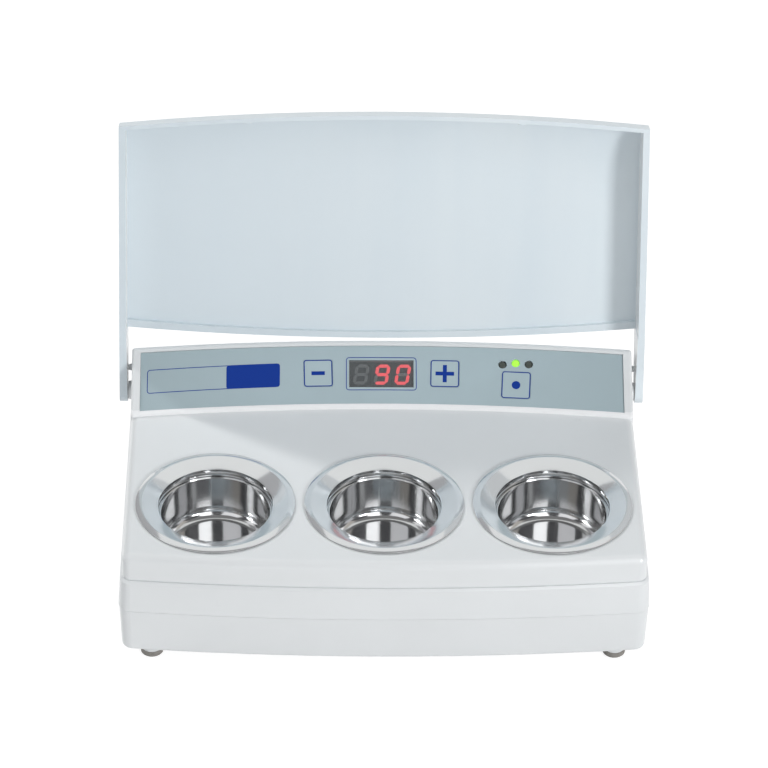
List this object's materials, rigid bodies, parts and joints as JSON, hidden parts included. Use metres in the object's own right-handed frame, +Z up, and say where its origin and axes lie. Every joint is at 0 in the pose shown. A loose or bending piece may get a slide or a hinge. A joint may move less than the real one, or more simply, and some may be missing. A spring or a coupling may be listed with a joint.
{
  "type": "dental lab wax heater",
  "caption": "Table-top electric heater that keeps dipping wax molten in removable round pots, with a hinged hood, a sloping key panel and a digital temperature display.",
  "frame": {"origin": "on the table, under the middle of the space that the heater takes with its hood open", "axes": "+X to the right as seen by the person using it, +Y to the back, +Z up; the wells lie in a row along X and the panel faces -Y"},
  "size_m": [0.275, 0.2025, 0.2147],
  "materials": {
    "shell": "satin white moulded ABS",
    "hood_plastic": "pale blue tinted, fine matt surface",
    "foil": "silver grey printed polyester film",
    "keycap": "silver grey printed film over plastic",
    "window": "smoked clear window",
    "segment_on": "red lit diffuser",
    "segment_off": "grey unlit diffuser",
    "display_body": "black moulded display block",
    "lamp_off": "unlit tinted diffuser",
    "lamp_on": "lit green diffuser",
    "cup_metal": "turned satin",
    "pot_metal": "polished spun steel",
    "gasket": "soft black silicone",
    "foot_rubber": "grey-brown rubber",
    "steel": "zinc plated",
    "clamp_metal": "turned",
    "heater_mica": "steel-clad heater band",
    "shield_metal": "mill finish sheet",
    "board_green": "green solder mask",
    "component_black": "black moulded",
    "transformer_core": "laminated core",
    "fuse_glass": "glass tube",
    "lead_cover": "silicone covered lead",
    "mains_cover": "PVC covered lead",
    "ribbon_cover": "grey flat cable",
    "inlet_plastic": "black moulded",
    "blade_brass": "tin plated brass",
    "plate_film": "plain printed label stock"
  },
  "bodies": {
    "housing": {"upper_housing": "shell", "base_housing": "shell", "rating_plate": "plate_film", "feet": "foot_rubber", "housing_screws": "steel", "heating_cup_left": "cup_metal", "flange_gasket_left": "gasket", "clamp_ring_left": "clamp_metal", "heater_band_left": "heater_mica", "temperature_sensor_left": "steel", "heating_cup_middle": "cup_metal", "flange_gasket_middle": "gasket", "clamp_ring_middle": "clamp_metal", "heater_band_middle": "heater_mica", "temperature_sensor_middle": "steel", "heating_cup_right": "cup_metal", "flange_gasket_right": "gasket", "clamp_ring_right": "clamp_metal", "heater_band_right": "heater_mica", "temperature_sensor_right": "steel", "heat_shield": "shield_metal", "hinge_pin_left": "steel", "hinge_pin_right": "steel", "hinge_clips": "steel", "control_foil": "foil", "display_window": "window", "status_lamp_left": "lamp_off", "status_lamp_middle": "lamp_on", "status_lamp_right": "lamp_off", "display_module": "display_body", "display_segments_lit": "segment_on", "display_segments_dark": "segment_off", "control_board": "board_green", "key_switches": "component_black", "power_board": "board_green", "transformer": "transformer_core", "heat_sink": "clamp_metal", "triacs": "component_black", "board_fuse": "fuse_glass", "board_screws": "steel", "heater_leads": "lead_cover", "mains_leads": "mains_cover", "ribbon_cable": "ribbon_cover", "mains_inlet": "inlet_plastic", "inlet_blades": "blade_brass", "power_switch": "inlet_plastic"},
    "hood": {"hood": "hood_plastic"},
    "pot_left": {"wax_pot_left": "pot_metal"},
    "pot_middle": {"wax_pot_middle": "pot_metal"},
    "pot_right": {"wax_pot_right": "pot_metal"},
    "minus_key": {"minus_key": "keycap"},
    "plus_key": {"plus_key": "keycap"},
    "program_key": {"program_key": "keycap"},
    "switch_rocker": {"power_switch_rocker": "component_black"}
  },
  "joints": [
    {"name": "hood_hinge", "type": "hinge", "parent": "housing", "child": "hood", "pos_m": [0, 0.0521, 0.0619], "axis": [-1, 0, 0], "range_deg": [-104, 0]},
    {"name": "pot_left_lift", "type": "slide", "parent": "housing", "child": "pot_left", "axis": [0, 0, 1], "range_m": [0, 0.04]},
    {"name": "pot_middle_lift", "type": "slide", "parent": "housing", "child": "pot_middle", "axis": [0, 0, 1], "range_m": [0, 0.04]},
    {"name": "pot_right_lift", "type": "slide", "parent": "housing", "child": "pot_right", "axis": [0, 0, 1], "range_m": [0, 0.04]},
    {"name": "minus_key_press", "type": "slide", "parent": "housing", "child": "minus_key", "axis": [-0.0158, 0.5297, -0.848], "range_m": [0, 0.0004], "stiffness_N_per_m": 1000, "springref_m": -0.0008},
    {"name": "plus_key_press", "type": "slide", "parent": "housing", "child": "plus_key", "axis": [0.0156, 0.5297, -0.848], "range_m": [0, 0.0004], "stiffness_N_per_m": 1000, "springref_m": -0.0008},
    {"name": "program_key_press", "type": "slide", "parent": "housing", "child": "program_key", "axis": [0.0333, 0.5289, -0.848], "range_m": [0, 0.0004], "stiffness_N_per_m": 1000, "springref_m": -0.0008},
    {"name": "switch_rocker_tip", "type": "hinge", "parent": "housing", "child": "switch_rocker", "pos_m": [0.046, 0.09622, 0.02], "axis": [1, 0, 0], "range_deg": [-18, 0]}
  ]
}
